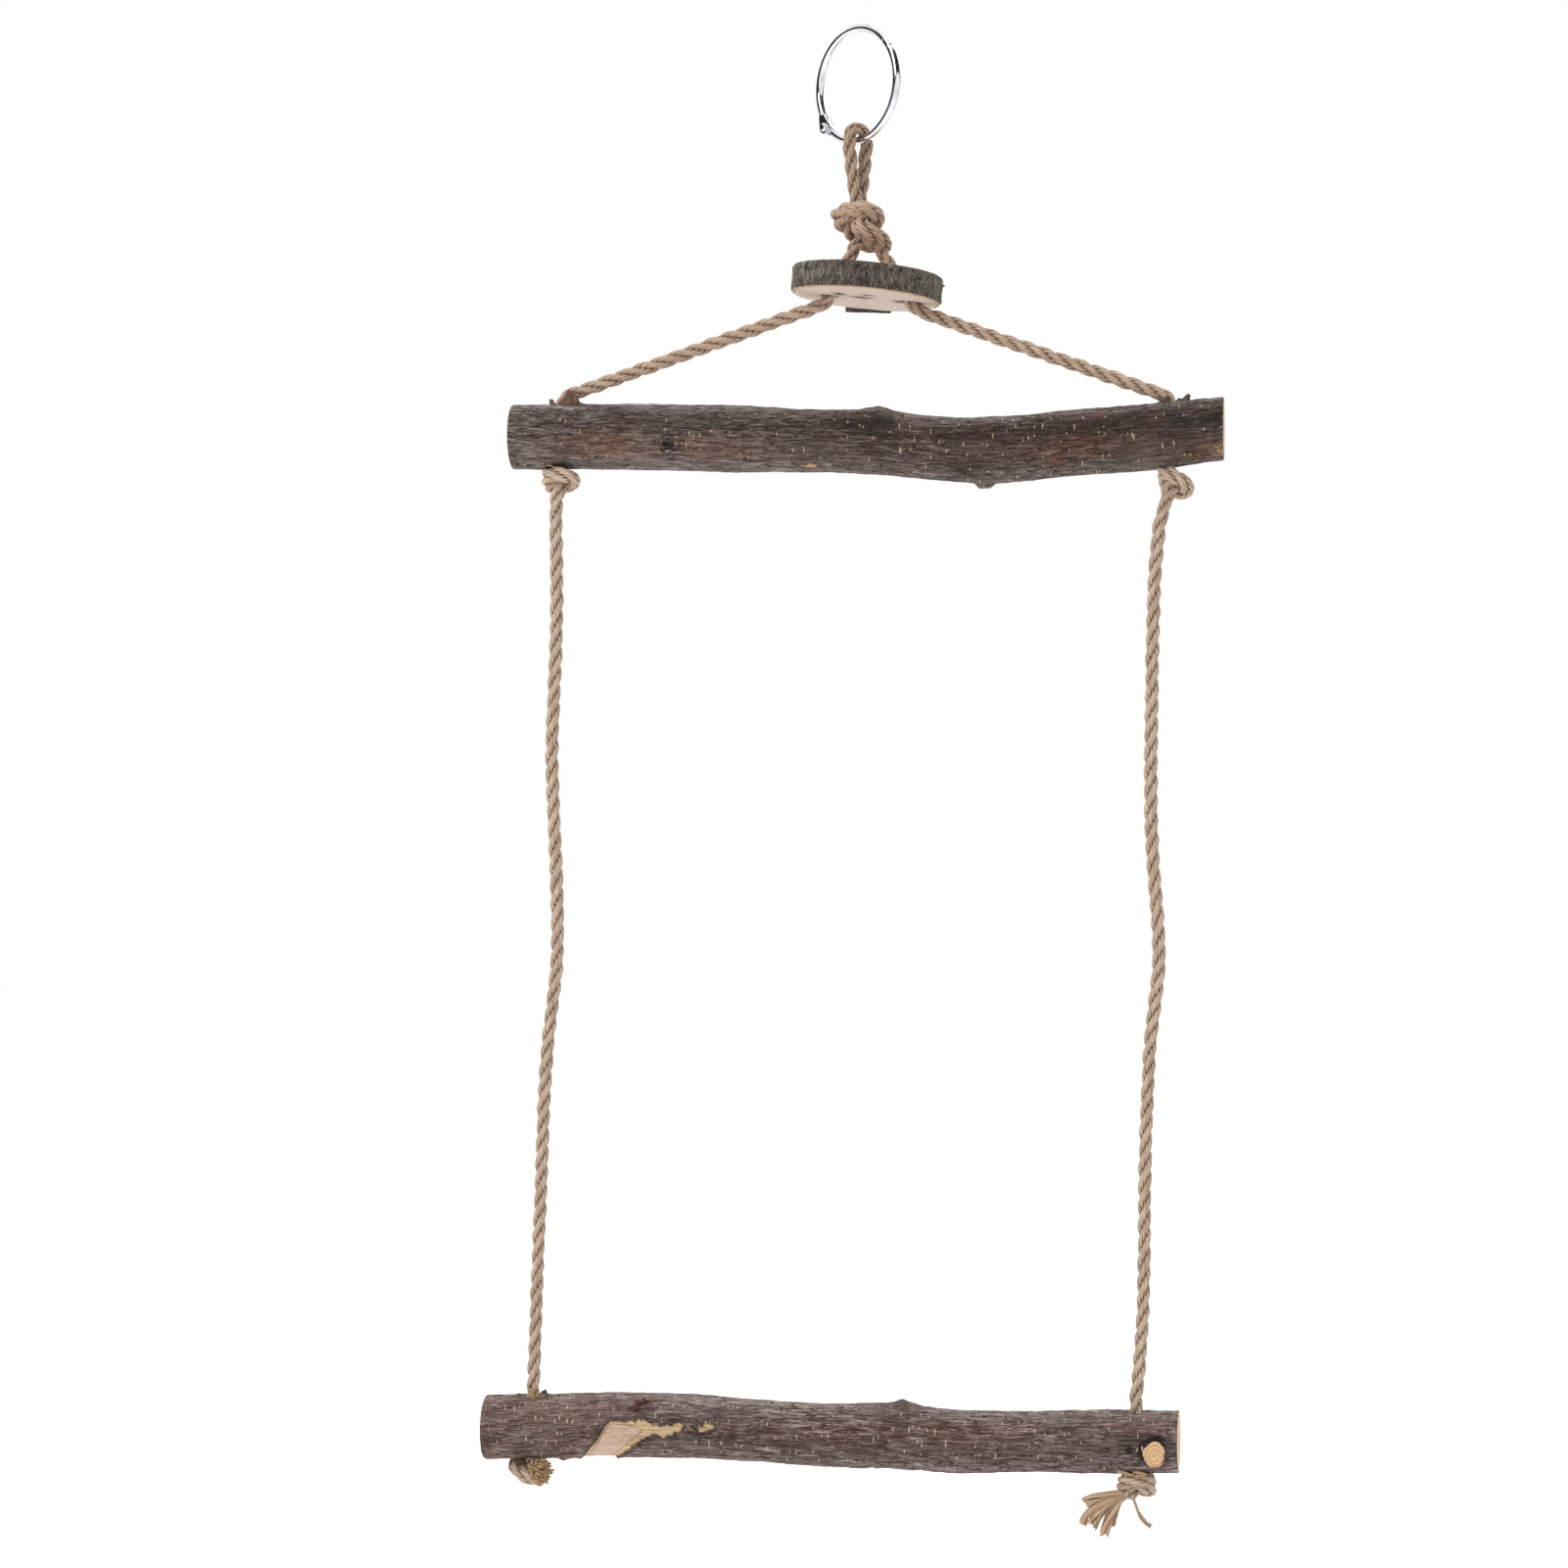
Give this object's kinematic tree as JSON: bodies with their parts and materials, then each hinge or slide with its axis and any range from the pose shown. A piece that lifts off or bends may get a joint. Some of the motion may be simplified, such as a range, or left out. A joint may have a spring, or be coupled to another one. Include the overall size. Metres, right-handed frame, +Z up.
{
  "type": "bird swing",
  "caption": "Hanging bird swing: branch perches strung one above the other on knotted jute rope, under a slice of branch, hung from a hinged metal ring.",
  "frame": {"origin": "middle of the hanging ring's eye", "axes": "+X along the perches to the right as pictured, +Y away from the viewer, +Z up"},
  "size_m": [0.2913, 0.0592, 0.5918],
  "materials": {
    "ring_wire": "bright nickel plated wire",
    "jute_rope": "hairy twisted jute",
    "branch_slice": "sawn end grain with bark",
    "branch_bark": "dry smooth bark"
  },
  "bodies": {
    "ring": {"ring_lower_half": "ring_wire", "ring_rivet": "ring_wire"},
    "gate": {"ring_upper_half": "ring_wire"},
    "loop": {"hanging_loop": "jute_rope"},
    "hanger": {"top_knot": "jute_rope", "left_leg": "jute_rope", "right_leg": "jute_rope", "wood_disc": "branch_slice"},
    "upper": {"upper_perch": "branch_bark", "left_diagonal": "jute_rope", "right_diagonal": "jute_rope", "left_upper_knot": "jute_rope", "right_upper_knot": "jute_rope"},
    "necks": {"left_rope_neck": "jute_rope", "right_rope_neck": "jute_rope"},
    "left_rope": {"left_side_rope": "jute_rope"},
    "right_rope": {"right_side_rope": "jute_rope"},
    "lower": {"lower_perch": "branch_bark", "left_lower_knot": "jute_rope", "right_lower_knot": "jute_rope", "frayed_tail": "jute_rope"}
  },
  "joints": [
    {"name": "ring_gate", "type": "hinge", "parent": "ring", "child": "gate", "pos_m": [-0.01381, 0.01159, -0.0146], "axis": [-0.6428, -0.766, 0], "range_deg": [0, 75]},
    {"name": "loop_swing", "type": "hinge", "parent": "ring", "child": "loop", "pos_m": [0, 0, -0.022], "axis": [0.766, -0.6428, 0], "range_deg": [-60, 60]},
    {"name": "neck_twist", "type": "hinge", "parent": "loop", "child": "hanger", "pos_m": [0, 0, -0.0467], "axis": [0, 0, 1], "range_deg": [-120, 120], "stiffness_Nm_per_rad": 0.002},
    {"name": "upper_swing", "type": "hinge", "parent": "hanger", "child": "upper", "pos_m": [-0.01241, -0.00016, -0.08555], "axis": [0.9957, -0.0033, -0.0923], "range_deg": [-45, 45]},
    {"name": "lower_swing", "type": "hinge", "parent": "upper", "child": "necks", "pos_m": [-0.1202, 0, -0.16152], "axis": [0.9999, 0, -0.0164], "range_deg": [-60, 60]},
    {"name": "left_sway", "type": "hinge", "parent": "necks", "child": "left_rope", "pos_m": [-0.12044, 0, -0.17352], "axis": [0, 1, 0], "range_deg": [-25, 25]},
    {"name": "right_sway", "type": "hinge", "parent": "necks", "child": "right_rope", "pos_m": [0.11774, 0, -0.17352], "axis": [0, 1, 0], "range_deg": [-25, 25]},
    {"name": "lower_level", "type": "hinge", "parent": "left_rope", "child": "lower", "pos_m": [-0.12954, 0, -0.51302], "axis": [0, 1, 0], "range_deg": [-25, 25]}
  ],
  "couplings": [
    {"joint": "right_sway", "follows": "left_sway", "ratio": 1},
    {"joint": "lower_level", "follows": "left_sway", "ratio": -1}
  ]
}
